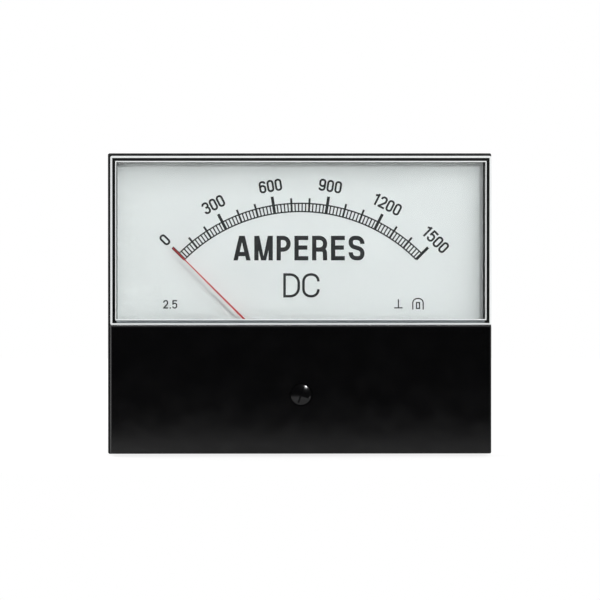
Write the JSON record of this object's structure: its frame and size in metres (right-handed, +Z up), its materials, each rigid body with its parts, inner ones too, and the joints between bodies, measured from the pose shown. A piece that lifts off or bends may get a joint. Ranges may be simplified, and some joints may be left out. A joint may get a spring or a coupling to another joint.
{
  "type": "analog panel meter",
  "caption": "Rectangular moving-coil panel ammeter: clear window over a white arc scale and red pointer, black skirt with zero adjuster, round rear barrel with terminals.",
  "frame": {"origin": "on the barrel's axis, in the plane of the base's rear face, which lies on the panel", "axes": "+X to the viewer's right across the front, +Y back through the panel along the barrel, +Z up"},
  "size_m": [0.108, 0.0677, 0.0846],
  "materials": {
    "clear_acrylic": "gloss",
    "black_acrylic": "gloss",
    "black_phenolic": "satin",
    "zinc_steel": "satin",
    "hard_steel": "polished",
    "brass": "satin",
    "nickel_brass": "satin",
    "tinned_brass": "satin",
    "spring_bronze": "satin",
    "white_enamel": "matte",
    "soft_iron": "satin",
    "cast_magnet": "matte",
    "die_cast": "matte",
    "aluminium_sheet": "satin",
    "red_aluminium": "satin",
    "enamelled_copper": "gloss",
    "resistance_wire": "satin",
    "natural_nylon": "satin",
    "sapphire": "gloss",
    "lead_insulation": "satin",
    "printing_ink": "matte"
  },
  "bodies": {
    "case": {"window_cover": "clear_acrylic", "front_skirt": "black_acrylic", "base": "black_phenolic", "cover_screws": "zinc_steel", "mounting_studs": "brass", "dial_plate": "white_enamel", "scale_print": "printing_ink", "dial_screws": "zinc_steel", "stop_pins": "zinc_steel", "yoke_ring": "soft_iron", "core_magnet": "cast_magnet", "core_spacers": "die_cast", "bridge_posts": "brass", "front_bridge": "aluminium_sheet", "rear_bridge": "aluminium_sheet", "bridge_screws": "zinc_steel", "movement_screws": "zinc_steel", "front_jewel_screw": "brass", "rear_jewel_screw": "brass", "bearing_jewels": "sapphire", "jewel_lock_nut": "brass", "spring_tag": "tinned_brass", "terminal_studs": "nickel_brass", "terminal_nuts": "nickel_brass", "terminal_washers": "zinc_steel", "solder_lugs": "tinned_brass", "resistor_bobbin": "natural_nylon", "resistor_winding": "resistance_wire", "lead_wires": "lead_insulation"},
    "movement": {"coil_former": "aluminium_sheet", "coil_winding": "enamelled_copper", "pivot_staffs": "hard_steel", "pointer": "red_aluminium", "balance_cross": "aluminium_sheet", "balance_weights": "brass", "front_hairspring": "spring_bronze", "rear_hairspring": "spring_bronze"},
    "zero_lever": {"zero_lever": "aluminium_sheet"},
    "zero_adjuster": {"zero_adjuster": "black_acrylic"}
  },
  "joints": [
    {"name": "movement_swing", "type": "hinge", "parent": "case", "child": "movement", "pos_m": [0, -0.0004, -0.0144], "axis": [0, 1, 0], "range_deg": [-3, 93], "stiffness_Nm_per_rad": 0.00003},
    {"name": "zero_adjust", "type": "hinge", "parent": "case", "child": "zero_adjuster", "pos_m": [0, -0.017, -0.0196], "axis": [0, 1, 0], "range_deg": [-45, 45]},
    {"name": "zero_lever_swing", "type": "hinge", "parent": "case", "child": "zero_lever", "pos_m": [0, -0.0157, -0.0144], "axis": [0, 1, 0], "range_deg": [-7, 7]}
  ],
  "couplings": [
    {"joint": "zero_lever_swing", "follows": "zero_adjust", "ratio": 0.1516}
  ]
}
